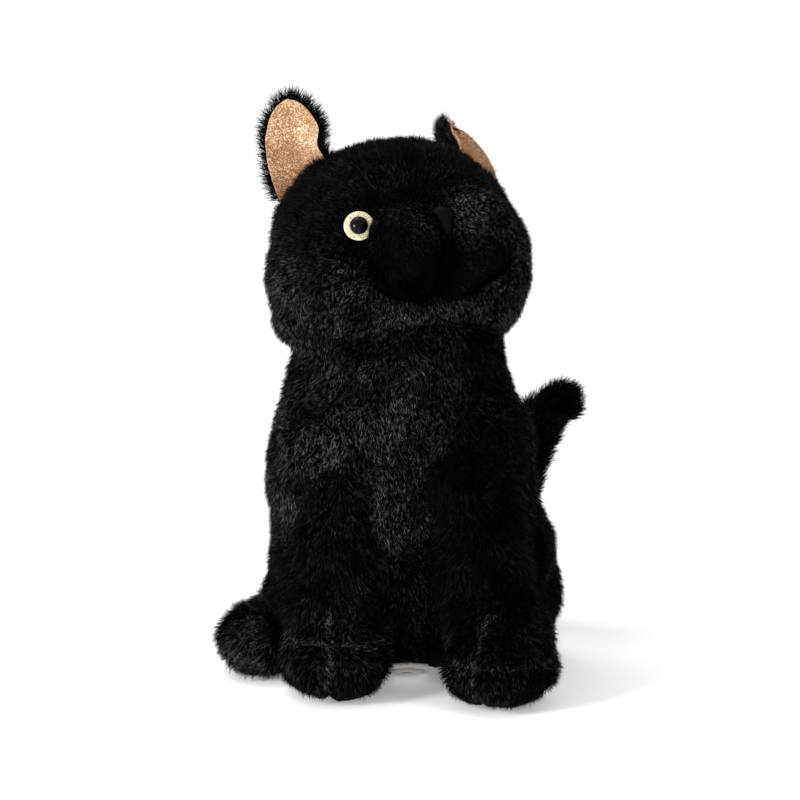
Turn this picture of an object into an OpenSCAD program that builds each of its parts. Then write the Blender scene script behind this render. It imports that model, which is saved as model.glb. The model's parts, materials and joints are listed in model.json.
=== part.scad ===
// Sitting plush cat: faux-fur panels over soft filling, with a turning head,
// folding ears, swinging front legs, hind feet and a swaying tail.
// The cat faces -Y, +Z is up, and the origin is on the flat seat, under the body.

/* [Body] */
// Radius of the flat seat that the body rests on
seat_r = 44; // [42:0.5:46]
// How far the outline's lower handle reaches out, which sets the rump's width
rump_reach = 68; // [66:0.5:70]
// How far the outline's upper handle reaches out, which sets the chest's width
chest_reach = 56; // [54:0.5:58]
// Radius of the body at its neck seam
neck_r = 43; // [41:0.5:45]
// Height of the body at the rim of its neck
body_h = 164; // [160:1:168]
// Distance of the body's axis behind the origin
body_y = 4; // [3:0.5:5]
// Slope of the belly's underside in front of the seat, in degrees
belly_slope = 20; // [16:1:22]

/* [Head] */
// Half of the head's width
head_half_w = 57; // [55:0.5:59]
// Radius of the head, seen from its side
head_r = 47; // [46:0.5:48]
// Squareness of the head's outline, where 2 is an ellipse
head_power = 2.8; // [2.4:0.1:3]
// Height of the head's centre
head_z = 198; // [197:0.5:202]
// Turn of the head to its left, in degrees
head_turn = 20; // [16:1:24]
// Tilt of the face upwards, in degrees
head_pitch = 20; // [16:1:24]
// Lean of the head to its right, in degrees
head_roll = 0; // [-3:1:3]
// Room between the head and the neck seam
head_gap = 3.5; // [3.2:0.1:4]

/* [Face] */
// Distance of each eye from the middle of the face
eye_x = 30; // [28:0.5:30.5]
// Height of the eyes above the head's middle, in degrees
eye_up = 9; // [7:1:13]
// Radius of each glitter disc
disc_r = 7; // [6.4:0.1:7]
// Radius of each black pupil
pupil_r = 4.7; // [4:0.1:5.2]
// Radius of each muzzle lobe
lobe_r = 20; // [19:0.5:21]
// Distance of each lobe's centre from the middle of the face
lobe_x = 12.5; // [11:0.5:14]

/* [Ears] */
// Half of each ear's width at its foot
ear_half_w = 18; // [17:0.5:19]
// Height of each ear above its fold line
ear_h = 41; // [38:1:43]
// Turn of each ear outwards, in degrees
ear_out = 29; // [24:1:32]
// Lean of the right ear forwards, in degrees
ear_lean_right = 5; // [0:1:8]
// Lean of the left ear backwards, in degrees
ear_lean_left = 32; // [25:1:36]

/* [Front legs] */
// Radius of the rounded top of each front leg
shoulder_r = 21; // [20:0.5:21.5]
// Radius of each front paw
paw_r = 22.5; // [21:0.5:23]
// Half of each front paw's length
paw_half_l = 28; // [26:0.5:29]
// Turn of the left paw's toes inwards, in degrees
toe_in = 24; // [15:1:26]

/* [Hind feet] */
// Radius of each hind foot
foot_r = 17; // [16.5:0.5:18]
// Half of each hind foot's length
foot_half_l = 28; // [26:0.5:29]

/* [Tail] */
// Radius of the tail at its root
tail_root_r = 7; // [6.5:0.5:7.5]
// Radius of the tail at its thickest
tail_full_r = 8.5; // [8:0.5:9]

/* [Fabric] */
// Thickness of the fur fabric's backing and the roots of its pile
skin_t = 2.5; // [2.2:0.1:2.8]
// Gap between a cover and the filling inside it
fit_gap = 0.15; // [0.1:0.05:0.3]

/* [Hidden] */
$fn = 64;
outline_steps = 20;
big = 300;
LEFT = 1;
RIGHT = -1;

head_at = [-1, -5, head_z];
panel_half_w = 33;
chin_opening_r = 24;
chest_seam_x = 14;
chest_low_z = 120.4;
chest_handle_z = 110;
side_seam_y = -2;
side_wrap = 40;
side_lap = 1;
back_seam_turn = 52;
neck_plug_r = 22;
neck_plug_z = 124;
neck_gap = 0.5;
pellet_r = 24;
pellet_at = [0, 8, 30];

muzzle_y = -57;
muzzle_z = -9;
velboa_t = 1.5;
nose_at = [0, -67, 7];
nose_r = 6.5;
eye_out = 19;
pupil_z = 2;
pupil_dome = 0.7;
disc_z = 0.9;
disc_t = 1;
washer_r = 6;
washer_z = -4.6;
washer_t = 1.2;
washer_room_z = -7.5;
washer_room_h = 12;
shank_r = 1.9;
shank_l = 8.5;
shank_gap = 0.1;
shank_room = 0.3;
shank_hole_l = 20;

ear_at = [39, 6, 36];
ear_splay = [6, 34];
ear_lean = [ear_lean_right, -ear_lean_left];
ear_room = 2.5;
ear_back_t = 3.6;
lining_t = 1.2;
lining_inset = 2.5;
lining_gap = 0.1;
ear_foot = 14;
ear_arc_r = (ear_h * ear_h + ear_half_w * ear_half_w) / (2 * ear_half_w);

shoulder_at = [[-26, -34, 98], [32, -40, 98]];
paw_at = [[-28.5, -44, 17], [45, -58, 17]];
paw_turn = [0, -toe_in];
leg_top_r = 19;
leg_low_r = 20.5;
paw_power = 2.3;
paw_seam_z = 30;
sole_t = 2;
slot_at = [[-28, -36], [36, -38]];
slot_r = 25.5;
slot_edge = 0.4;
slot_out_w = [36, 44];
belly_half_w = 15;
belly_low_z = 19.7;
belly_start_y = -6;
slot_top = 120.2;

foot_at = [[-63, -8, 16.5], [51, -2, 16.5]];
foot_turn = [-12, 10];
foot_room = 2.3;

tail_route = [
    [6, 61, 26], [10, 74, 27], [22, 83, 32], [38, 86, 40],
    [52, 84, 52], [58, 80, 70], [60, 77, 87], [67, 75, 101], [80, 74, 112]
];
tail_r = [
    tail_root_r, tail_root_r + 0.5, tail_root_r + 1, tail_root_r + 1, tail_root_r + 1,
    tail_full_r, tail_full_r, tail_full_r, 5
];
tail_pocket_at = [7, 66, 26];
tail_pocket_r = 14;
tail_sides = 14;
tail_side_way = [0, 1, 0.35];
tail_end = 0.8;

label_at = [4, -13, 1];
label_tilt = 10;
label_w = 20;
label_l = 14;
label_t = 0.6;
label_gap = 0.15;

FUR = [0.03, 0.03, 0.035];
VELBOA = [0.02, 0.02, 0.025];
GOLD_GLITTER = [0.78, 0.58, 0.36];
FILLING = [0.93, 0.92, 0.9];

// ---- Outlines and places ----

function bezier(p, t) =
    pow(1 - t, 3) * p[0] + 3 * t * pow(1 - t, 2) * p[1]
    + 3 * t * t * (1 - t) * p[2] + pow(t, 3) * p[3];

// Half of the body's outline, drawn in by inset
function body_outline(inset) =
    let (handles = [
        [seat_r - inset, inset],
        [rump_reach - inset, inset],
        [chest_reach - inset, chest_handle_z],
        [neck_r - inset, body_h]
    ])
    concat(
        [[0, inset]],
        [for (i = [0:outline_steps]) bezier(handles, i / outline_steps)],
        [[0, body_h]]
    );

// Half of a squared oval about the Z axis
function oval(r, half_l, power) =
    [for (i = [0:outline_steps])
        let (a = 180 * i / outline_steps - 90)
        [r * pow(abs(cos(a)), 2 / power), half_l * sign(sin(a)) * pow(abs(sin(a)), 2 / power)]
    ];

// Radius of the head at a distance x from its middle
function head_radius(x) =
    head_r * pow(1 - pow(abs(x) / head_half_w, head_power), 1 / head_power);

// 0 for the right side and 1 for the left
function index(side) = side == LEFT ? 1 : 0;

module in_head() {
    translate(head_at)
        rotate([-head_pitch, -head_roll, head_turn])
            children();
}

// The head without its muzzle, round about the line between its cheeks
module head_form(grow) {
    rotate([0, 90, 0])
        rotate_extrude()
            polygon(oval(head_r + grow, head_half_w + grow, head_power));
}

// Everything on one side of the eye's place, with +Z out of the face
module at_eye(side) {
    in_head()
        translate([side * eye_x, 0, 0])
            rotate([-eye_up, 0, 0])
                translate([0, -head_radius(eye_x), 0])
                    rotate([90, 0, side * eye_out])
                        children();
}

module at_ear(side) {
    in_head()
        translate([side * ear_at[0], ear_at[1], ear_at[2]])
            rotate([ear_lean[index(side)], side * ear_splay[index(side)], side * ear_out])
                children();
}

// ---- Head ----

module head_skin() {
    difference() {
        in_head()
            difference() {
                head_form(0);
                head_form(-skin_t);
            }
        translate([head_at[0], head_at[1], 0])
            cylinder(h = head_z - head_r / 2, r = chin_opening_r);
    }
}

module head_panel(x_from, x_to, z_from, z_to) {
    color(FUR)
        difference() {
            intersection() {
                head_skin();
                in_head()
                    translate([x_from, -big / 2, z_from])
                        cube([x_to - x_from, big, z_to - z_from]);
            }
            for (side = [RIGHT, LEFT])
                at_eye(side)
                    cylinder(h = shank_hole_l, r = shank_r + shank_room, center = true);
        }
}

module head_crown() {
    head_panel(-panel_half_w, panel_half_w, 0, big);
}

module head_chin(side) {
    low = side == LEFT ? 0 : -panel_half_w;
    head_panel(low, low + panel_half_w, -big, 0);
}

module head_cheek(side) {
    low = side == LEFT ? panel_half_w : -big;
    head_panel(low, low + big - (side == LEFT ? 0 : panel_half_w), -big, big);
}

module head_stuffing() {
    color(FILLING)
        difference() {
            in_head()
                head_form(-skin_t - fit_gap);
            for (side = [RIGHT, LEFT])
                at_eye(side)
                    translate([0, 0, washer_room_z])
                        cylinder(h = washer_room_h, r = washer_r + shank_room);
        }
}

module lobes(r) {
    for (side = [RIGHT, LEFT])
        translate([side * lobe_x, muzzle_y, muzzle_z])
            sphere(r = r);
}

module muzzle_lobe(side) {
    color(VELBOA)
        in_head()
            difference() {
                intersection() {
                    lobes(lobe_r);
                    translate([side == LEFT ? 0 : -big, -big / 2, -big / 2])
                        cube(big);
                }
                lobes(lobe_r - velboa_t);
                head_form(fit_gap);
            }
}

module muzzle_stuffing() {
    color(FILLING)
        in_head()
            difference() {
                lobes(lobe_r - velboa_t - fit_gap);
                head_form(fit_gap);
            }
}

module nose() {
    color(VELBOA)
        in_head()
            difference() {
                translate(nose_at)
                    sphere(r = nose_r);
                lobes(lobe_r + fit_gap);
            }
}

// Safety eye: a black dome on a barbed shank that a washer holds inside the head
module eye(side) {
    color("black")
        at_eye(side)
            rotate_extrude()
                union() {
                    translate([0, pupil_z])
                        intersection() {
                            scale([1, pupil_dome])
                                circle(r = pupil_r);
                            square([pupil_r, pupil_r]);
                        }
                    translate([0, pupil_z - shank_l])
                        square([shank_r, shank_l]);
                }
}

module glitter_disc(side) {
    color(GOLD_GLITTER)
        at_eye(side)
            rotate_extrude()
                translate([shank_r + shank_gap, disc_z])
                    square([disc_r - shank_r - shank_gap, disc_t]);
}

module eye_washer(side) {
    color("white")
        at_eye(side)
            rotate_extrude()
                translate([shank_r + shank_gap, washer_z])
                    square([washer_r - shank_r - shank_gap, washer_t]);
}

// ---- Ears ----

// Pointed arch, standing in the XY plane with its foot below the fold line
module ear_outline(inset) {
    intersection() {
        translate([ear_half_w - ear_arc_r, 0])
            circle(r = ear_arc_r - inset);
        translate([ear_arc_r - ear_half_w, 0])
            circle(r = ear_arc_r - inset);
        translate([-ear_half_w, -ear_foot])
            square([2 * ear_half_w, big]);
    }
}

module ear_layer(side, inset, back, thickness) {
    difference() {
        at_ear(side)
            translate([0, back, 0])
                rotate([90, 0, 0])
                    linear_extrude(height = thickness)
                        ear_outline(inset);
        in_head()
            head_form(ear_room);
    }
}

module ear_back(side) {
    color(FUR)
        ear_layer(side, 0, ear_back_t, ear_back_t);
}

module ear_lining(side) {
    color(GOLD_GLITTER)
        ear_layer(side, lining_inset, -lining_gap, lining_t);
}

// ---- Neck ----

module neck_plug() {
    color(FILLING)
        difference() {
            translate([head_at[0], head_at[1], neck_plug_z])
                cylinder(h = head_z - neck_plug_z, r = neck_plug_r);
            in_head()
                head_form(neck_gap);
        }
}

// ---- Body ----

// The body's full round, sloped under the belly
module body_form(inset) {
    difference() {
        translate([0, body_y, 0])
            rotate([0, 0, back_seam_turn])
                rotate_extrude()
                    polygon(body_outline(inset));
        belly_wedge(inset);
    }
}

module belly_wedge(lift) {
    translate([-big / 2, belly_start_y, lift])
        rotate([-belly_slope, 0, 0])
            translate([0, -big, -big])
                cube([big, big, big]);
}

// Room in the body for the head, the legs and the tail
module body_hollows() {
    in_head()
        head_form(head_gap);
    for (i = [0, 1]) {
        translate([slot_at[i][0], slot_at[i][1], -1])
            cylinder(h = slot_top + 1, r = slot_r);
        translate([
            i == 0 ? slot_at[i][0] - slot_out_w[i] : slot_at[i][0] - slot_r - slot_edge,
            slot_at[i][1] - big, -1
        ])
            cube([slot_r + slot_edge + slot_out_w[i], big, slot_top + 1]);
        foot_form(i, foot_room);
    }
    translate(tail_pocket_at)
        sphere(r = tail_pocket_r);
}

module body_skin() {
    difference() {
        body_form(0);
        body_form(skin_t);
        body_hollows();
    }
}

// The part of the skin inside the blocks that follow it
module body_panel() {
    color(FUR)
        intersection() {
            body_skin();
            children();
        }
}

module block(from, to) {
    translate(from)
        cube(to - from);
}

module chest(side) {
    low = side == LEFT ? chest_seam_x : -big;
    high = side == LEFT ? big : chest_seam_x;
    body_panel()
        block([low, -big, chest_low_z], [high, side_seam_y, big]);
}

module belly_panel() {
    body_panel()
        block([-belly_half_w, -big, belly_low_z], [belly_half_w, side_seam_y, chest_low_z]);
}

module back(side) {
    difference() {
        body_panel()
            mirror([side == LEFT ? 0 : 1, 0, 0]) {
                block([0, side_seam_y, skin_t], [big, big, big]);
                block([belly_half_w, side_seam_y - side_wrap, skin_t], [big, side_seam_y + side_lap, chest_low_z]);
            }
        belly_wedge(skin_t);
    }
}

module base_panel() {
    color(FUR)
        intersection() {
            body_skin();
            union() {
                translate([-big / 2, -big / 2, -1])
                    cube([big, big, skin_t + 1]);
                belly_wedge(skin_t);
            }
        }
}

module body_stuffing() {
    color(FILLING)
        difference() {
            body_form(skin_t + fit_gap);
            body_hollows();
            translate([head_at[0], head_at[1], neck_plug_z - neck_gap])
                cylinder(h = big, r = neck_plug_r + neck_gap);
            translate(pellet_at)
                sphere(r = pellet_r + fit_gap);
        }
}

module pellet_bag() {
    color("wheat")
        translate(pellet_at)
            sphere(r = pellet_r);
}

// One leaf of the folded label: step is 0 for the outer leaf and 1 for the inner
module label_leaf(step) {
    color("white")
        translate(label_at)
            rotate([-label_tilt, 0, 0])
                translate([step - label_w / 2, 2 * step - label_l, step * (label_t + label_gap)])
                    cube([label_w - 2 * step, label_l - 2 * step, label_t]);
}

module care_label() {
    label_leaf(0);
}

module care_label_inner() {
    label_leaf(1);
}

// ---- Front legs ----

module paw_form(i, inset) {
    translate(paw_at[i])
        rotate([90, 0, paw_turn[i]])
            rotate_extrude()
                polygon(oval(paw_r - inset, paw_half_l - inset, paw_power));
}

// A cone between two points
module cone_between(a, b, r_a, r_b) {
    d = b - a;
    l = norm(d);
    translate(a)
        rotate([0, acos(d[2] / l), atan2(d[1], d[0])])
            cylinder(h = l, r1 = r_a, r2 = r_b);
}

module leg_form(i, inset) {
    translate(shoulder_at[i])
        sphere(r = shoulder_r - inset);
    cone_between(shoulder_at[i], paw_at[i], leg_top_r - inset, leg_low_r - inset);
    paw_form(i, inset);
}

module leg_shell(i) {
    difference() {
        leg_form(i, 0);
        leg_form(i, skin_t);
    }
}

module level_slice(z_from, z_to) {
    intersection() {
        children();
        translate([-big / 2, -big / 2, z_from])
            cube([big, big, z_to - z_from]);
    }
}

module leg_sleeve(side) {
    color(FUR)
        level_slice(paw_seam_z, big)
            leg_shell(index(side));
}

module paw_cover(side) {
    color(FUR)
        level_slice(sole_t, paw_seam_z)
            leg_shell(index(side));
}

module paw_sole(side) {
    color(FUR)
        level_slice(0, sole_t)
            paw_form(index(side), 0);
}

module leg_stuffing(side) {
    color(FILLING)
        level_slice(sole_t + fit_gap, big)
            leg_form(index(side), skin_t + fit_gap);
}

// ---- Hind feet ----

module foot_form(i, grow) {
    translate(foot_at[i])
        rotate([90, 0, foot_turn[i]])
            rotate_extrude()
                polygon(oval(foot_r + grow, foot_half_l + grow, paw_power));
}

module foot_cover(side) {
    color(FUR)
        level_slice(sole_t, big)
            difference() {
                foot_form(index(side), 0);
                foot_form(index(side), -skin_t);
            }
}

module foot_sole(side) {
    color(FUR)
        level_slice(0, sole_t)
            foot_form(index(side), 0);
}

module foot_stuffing(side) {
    color(FILLING)
        level_slice(sole_t + fit_gap, big)
            foot_form(index(side), -skin_t - fit_gap);
}

// ---- Tail ----

function unit(v) = v / norm(v);

function tail_along(i) =
    let (last = len(tail_route) - 1)
    unit(tail_route[min(i + 1, last)] - tail_route[max(i - 1, 0)]);

// One ring of points around the tail at a point of its route
function tail_ring(i, r) =
    let (
        along = tail_along(i),
        across = unit(cross(along, tail_side_way)),
        up = cross(along, across)
    )
    [for (k = [0:tail_sides - 1])
        let (a = 360 * k / tail_sides)
        tail_route[i] + r * (cos(a) * across + sin(a) * up)
    ];

module tail_form(inset) {
    last = len(tail_route) - 1;
    rings = [for (i = [0:last]) each tail_ring(i, tail_r[i] - inset)];
    ends = [
        tail_route[0] - (tail_root_r / 2 - inset) * tail_along(0),
        tail_route[last] + (tail_r[last] - inset) * tail_end * tail_along(last)
    ];
    root_tip = len(rings);
    end_tip = root_tip + 1;
    faces = concat(
        [for (k = [0:tail_sides - 1]) [root_tip, k, (k + 1) % tail_sides]],
        [for (i = [0:last - 1], k = [0:tail_sides - 1], half = [0, 1])
            let (
                a = i * tail_sides + k,
                b = i * tail_sides + (k + 1) % tail_sides
            )
            half == 0 ? [b, a, a + tail_sides] : [b, a + tail_sides, b + tail_sides]
        ],
        [for (k = [0:tail_sides - 1])
            [end_tip, last * tail_sides + (k + 1) % tail_sides, last * tail_sides + k]
        ]
    );
    polyhedron(points = concat(rings, ends), faces = faces);
}

module tail_cover() {
    color(FUR)
        difference() {
            tail_form(0);
            tail_form(skin_t);
        }
}

module tail_stuffing() {
    color(FILLING)
        tail_form(skin_t + fit_gap);
}

// ---- The pieces ----

head_crown();
head_cheek(RIGHT);  // head_cheek_right
head_cheek(LEFT);  // head_cheek_left
head_chin(RIGHT);  // head_chin_right
head_chin(LEFT);  // head_chin_left
head_stuffing();
muzzle_lobe(RIGHT);  // muzzle_lobe_right
muzzle_lobe(LEFT);  // muzzle_lobe_left
muzzle_stuffing();
nose();
eye(RIGHT);  // eye_right
eye(LEFT);  // eye_left
glitter_disc(RIGHT);  // glitter_disc_right
glitter_disc(LEFT);  // glitter_disc_left
eye_washer(RIGHT);  // eye_washer_right
eye_washer(LEFT);  // eye_washer_left
ear_back(RIGHT);  // ear_back_right
ear_back(LEFT);  // ear_back_left
ear_lining(RIGHT);  // ear_lining_right
ear_lining(LEFT);  // ear_lining_left
neck_plug();
chest(RIGHT);  // chest_right
chest(LEFT);  // chest_left
belly_panel();
back(RIGHT);  // back_right
back(LEFT);  // back_left
base_panel();
body_stuffing();
pellet_bag();
care_label();
care_label_inner();
leg_sleeve(RIGHT);  // leg_sleeve_right
paw_cover(RIGHT);  // paw_cover_right
paw_sole(RIGHT);  // paw_sole_right
leg_stuffing(RIGHT);  // leg_stuffing_right
leg_sleeve(LEFT);  // leg_sleeve_left
paw_cover(LEFT);  // paw_cover_left
paw_sole(LEFT);  // paw_sole_left
leg_stuffing(LEFT);  // leg_stuffing_left
foot_cover(RIGHT);  // foot_cover_right
foot_sole(RIGHT);  // foot_sole_right
foot_stuffing(RIGHT);  // foot_stuffing_right
foot_cover(LEFT);  // foot_cover_left
foot_sole(LEFT);  // foot_sole_left
foot_stuffing(LEFT);  // foot_stuffing_left
tail_cover();
tail_stuffing();
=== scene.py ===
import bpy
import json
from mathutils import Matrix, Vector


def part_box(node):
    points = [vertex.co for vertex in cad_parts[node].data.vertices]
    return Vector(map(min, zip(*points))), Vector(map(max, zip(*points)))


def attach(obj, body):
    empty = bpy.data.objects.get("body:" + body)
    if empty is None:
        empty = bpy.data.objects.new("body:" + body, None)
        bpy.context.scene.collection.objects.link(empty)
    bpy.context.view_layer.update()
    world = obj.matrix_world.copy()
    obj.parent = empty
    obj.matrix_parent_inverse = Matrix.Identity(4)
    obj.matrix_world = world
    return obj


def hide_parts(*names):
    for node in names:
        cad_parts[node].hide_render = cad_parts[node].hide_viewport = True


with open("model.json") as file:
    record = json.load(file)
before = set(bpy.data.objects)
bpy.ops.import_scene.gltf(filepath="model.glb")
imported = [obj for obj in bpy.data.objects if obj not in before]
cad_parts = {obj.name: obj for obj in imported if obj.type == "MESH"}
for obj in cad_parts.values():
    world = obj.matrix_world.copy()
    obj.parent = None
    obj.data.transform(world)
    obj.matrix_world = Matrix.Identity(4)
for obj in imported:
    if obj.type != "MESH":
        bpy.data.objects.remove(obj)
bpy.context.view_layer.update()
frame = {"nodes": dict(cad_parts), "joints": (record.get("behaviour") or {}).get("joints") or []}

import json
import math

import bmesh
import bpy
import numpy as np
from mathutils import Matrix, Vector, noise

# ---- Studio ----
# A seamless pale sweep, one big soft light high on the left, a weaker one on the right
# and a strip from behind that draws the edge of the pile.
MM = 0.001
scene = bpy.context.scene
scene.view_settings.view_transform = "Standard"


def add(tree, kind, wires=None, **settings):
    """One node, with its settings, and with each input set to a value or linked to a socket."""
    node = tree.nodes.new(kind)
    for name, value in settings.items():
        setattr(node, name, value)
    for key, value in (wires or {}).items():
        if isinstance(value, bpy.types.NodeSocket):
            tree.links.new(value, node.inputs[key])
        else:
            node.inputs[key].default_value = value
    return node


def linear(hex_colour):
    """An sRGB hex colour as the linear colour that a shader takes."""
    parts = [int(hex_colour[i:i + 2], 16) / 255 for i in (1, 3, 5)]
    return (*[c / 12.92 if c <= 0.04045 else ((c + 0.055) / 1.055) ** 2.4 for c in parts], 1.0)


def new_material(name):
    """An empty material with its output node."""
    made = bpy.data.materials.new(name)
    made.use_nodes = True
    made.node_tree.nodes.clear()
    out = made.node_tree.nodes.new("ShaderNodeOutputMaterial")
    return made, made.node_tree, out


CAMERA_DISTANCE = 2.3
CAMERA_RISE = math.radians(12)
VIEW_WIDTH = 0.3656
SENSOR_MM = 36.0
aim = Vector((0.0005, 0, 0.126))
camera_data = bpy.data.cameras.new("studio_camera")
camera_data.sensor_width = SENSOR_MM
camera_data.lens = SENSOR_MM * CAMERA_DISTANCE / VIEW_WIDTH
camera = bpy.data.objects.new("studio_camera", camera_data)
camera.location = aim + CAMERA_DISTANCE * Vector((0, -math.cos(CAMERA_RISE), math.sin(CAMERA_RISE)))
camera.rotation_euler = (aim - camera.location).to_track_quat("-Z", "Y").to_euler()
scene.collection.objects.link(camera)
scene.camera = camera

world = bpy.data.worlds.new("studio")
world.use_nodes = True
scene.world = world
world.node_tree.nodes.clear()
seen = add(world.node_tree, "ShaderNodeLightPath")
sky = add(world.node_tree, "ShaderNodeBackground", {"Color": (1, 1, 1, 1), "Strength": 1.1})
glow = add(world.node_tree, "ShaderNodeBackground", {"Color": (0.96, 0.98, 1, 1), "Strength": 0.75})
either = add(world.node_tree, "ShaderNodeMixShader",
             {0: seen.outputs["Is Camera Ray"], 1: glow.outputs[0], 2: sky.outputs[0]})
add(world.node_tree, "ShaderNodeOutputWorld", {"Surface": either.outputs[0]})


def soft_light(name, place, size, watts):
    """A square lamp that faces the middle of the object."""
    lamp = bpy.data.lights.new(name, "AREA")
    lamp.size = size
    lamp.energy = watts
    lamp_object = bpy.data.objects.new(name, lamp)
    lamp_object.location = place
    lamp_object.rotation_euler = (aim - Vector(place)).to_track_quat("-Z", "Y").to_euler()
    scene.collection.objects.link(lamp_object)


soft_light("key", (-1.2, -1.0, 0.6), 0.45, 26)
soft_light("fill", (0.95, -1.1, 0.5), 0.4, 6)
soft_light("top", (-0.5, 0.3, 1.7), 0.7, 8)

FLOOR_REACH = 12.0
floor_mesh = bpy.data.meshes.new("floor")
floor_mesh.from_pydata(
    [(-FLOOR_REACH, -FLOOR_REACH, 0), (FLOOR_REACH, -FLOOR_REACH, 0),
     (FLOOR_REACH, FLOOR_REACH, 0), (-FLOOR_REACH, FLOOR_REACH, 0)], [], [(0, 1, 2, 3)])
floor = bpy.data.objects.new("floor", floor_mesh)
scene.collection.objects.link(floor)
paper, tree, out = new_material("paper_sweep")
sheet_shader = add(tree, "ShaderNodeBsdfPrincipled", {
    "Base Color": linear("#F7F7F7"), "Roughness": 0.9, "Specular IOR Level": 0.1,
    "Emission Color": (1, 1, 1, 1), "Emission Strength": 0.25})
tree.links.new(sheet_shader.outputs[0], out.inputs["Surface"])
floor_mesh.materials.append(paper)

# ---- Body ----
# The body is a sewn fur bag stuffed with fibre: two chest panels, two back panels and a base.
# Its filling swells each panel between the seams, which stay pulled in under the pile.
joint = {j["name"]: j for j in frame["joints"]}
head_at = Vector(joint["head_nod"]["pos_m"])


def linked(name, mesh):
    """A new object in the scene that shows a mesh."""
    piece = bpy.data.objects.new(name, mesh)
    scene.collection.objects.link(piece)
    return piece


def points_of(mesh):
    """A mesh's points, one row each, in metres."""
    flat = np.empty(len(mesh.vertices) * 3)
    mesh.vertices.foreach_get("co", flat)
    return flat.reshape(-1, 3)


def normals_of(mesh):
    """The outward direction at each point of a mesh."""
    flat = np.empty(len(mesh.vertices) * 3)
    mesh.vertices.foreach_get("normal", flat)
    return flat.reshape(-1, 3)


def put_points(mesh, points):
    """Moves a mesh's points to new places."""
    mesh.vertices.foreach_set("co", points.ravel())
    mesh.update()


def settle(piece):
    """Makes a piece's modifiers final."""
    seen_piece = piece.evaluated_get(bpy.context.evaluated_depsgraph_get())
    mesh = bpy.data.meshes.new_from_object(seen_piece)
    piece.modifiers.clear()
    piece.data = mesh
    mesh.name = piece.name


def lump(centre, radii, turn=(0, 0, 0)):
    """One oval lump of filling, in millimetres and degrees, as a matrix that shapes a ball."""
    spin = (Matrix.Rotation(math.radians(turn[2]), 4, "Z")
            @ Matrix.Rotation(math.radians(turn[1]), 4, "Y")
            @ Matrix.Rotation(math.radians(turn[0]), 4, "X"))
    return Matrix.Translation(Vector(centre) * MM) @ spin @ Matrix.Diagonal((*[r * MM for r in radii], 1))


def stuff(name, lumps, space=None, grain=3.5, soften=8):
    """One closed skin around lumps of filling, with its hollows eased."""
    balls = bmesh.new()
    for shape in lumps:
        bmesh.ops.create_icosphere(balls, subdivisions=4, radius=1, matrix=(space or Matrix()) @ shape)
    mesh = bpy.data.meshes.new(name)
    balls.to_mesh(mesh)
    balls.free()
    piece = linked(name, mesh)
    skin = piece.modifiers.new("skin", "REMESH")
    skin.mode = "VOXEL"
    skin.voxel_size = grain * MM
    ease = piece.modifiers.new("ease", "SMOOTH")
    ease.factor = 0.6
    ease.iterations = soften
    settle(piece)
    return piece


def from_seam(points, seam):
    """Distance of each point from a seam: a plane, kept only on one side of a second plane."""
    place, across, keep = (np.array(v, float) for v in seam)
    away = points - place * MM
    far = np.abs(away @ (across / np.linalg.norm(across)))
    return np.where(away @ keep >= 0, far, 1.0)


# A skin this small hardly moves at an ordinary cushion's pressure, so PRESSURE is set high,
# and every swell has a cap on how far a point may move.
SEAM_HOLD = 2.6 * MM
SEAM_REACH = 1.9 * MM
PRESSURE = 4000
LUMPY = 2.2 * MM
LUMP_SIZE = 13 * MM


def swell(piece, seams, most, groove):
    """Blows the skin up with cloth pressure, held at its seams, then rounds it and draws the seams in."""
    mesh = piece.data
    rest = points_of(mesh)
    held = piece.vertex_groups.new(name="seams")
    for seam in seams:
        near = np.nonzero(from_seam(rest, seam) < SEAM_HOLD)[0]
        held.add([int(i) for i in near], 1.0, "REPLACE")
    cloth = piece.modifiers.new("filling", "CLOTH")
    cloth.settings.use_pressure = True
    cloth.settings.uniform_pressure_force = PRESSURE
    cloth.settings.effector_weights.gravity = 0
    cloth.settings.vertex_group_mass = "seams"
    cloth.collision_settings.use_collision = False
    for step in range(1, 21):
        scene.frame_set(step)
    blown = piece.evaluated_get(bpy.context.evaluated_depsgraph_get())
    move = points_of(blown.to_mesh()) - rest
    blown.to_mesh_clear()
    size = np.linalg.norm(move, axis=1, keepdims=True)
    move *= np.minimum(1, most * MM / np.maximum(size, 1e-9))
    piece.modifiers.remove(cloth)
    scene.frame_set(1)
    put_points(mesh, rest + move)
    finer = piece.modifiers.new("finer", "SUBSURF")
    finer.levels = finer.render_levels = 1
    settle(piece)
    mesh = piece.data
    points, out_ward = points_of(mesh), normals_of(mesh)
    drawn = np.zeros(len(points))
    for seam in seams:
        drawn = np.maximum(drawn, np.exp(-(from_seam(points, seam) / SEAM_REACH) ** 2))
    points -= out_ward * (drawn * groove * MM)[:, None]
    lumps_in = np.array([noise.noise(Vector(q) / LUMP_SIZE) for q in points])
    points += out_ward * (lumps_in * LUMPY * (1 - drawn))[:, None]
    points[:, 2] = np.maximum(points[:, 2], 0.7 * MM)
    put_points(mesh, points)
    mesh.shade_smooth()


def keep_numbers(mesh, name, values, kind="FLOAT"):
    """Stores a number or a direction for each point of the skin."""
    found = mesh.attributes.get(name) or mesh.attributes.new(name, kind, "POINT")
    found.data.foreach_set("value" if kind == "FLOAT" else "vector", np.asarray(values, np.float32).ravel())


def inside(points, low, high, shrink):
    """Is each point inside the oval that fills a box, drawn in by shrink?"""
    low, high = np.array(low), np.array(high)
    half = (high - low) / 2 - shrink * MM
    return (((points - (low + high) / 2) / half) ** 2).sum(1) < 1


def node_box(*names):
    """The box around several CAD nodes."""
    corners = [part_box(n) for n in names]
    low = [min(c[0][i] for c in corners) for i in range(3)]
    high = [max(c[1][i] for c in corners) for i in range(3)]
    return low, high


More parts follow.
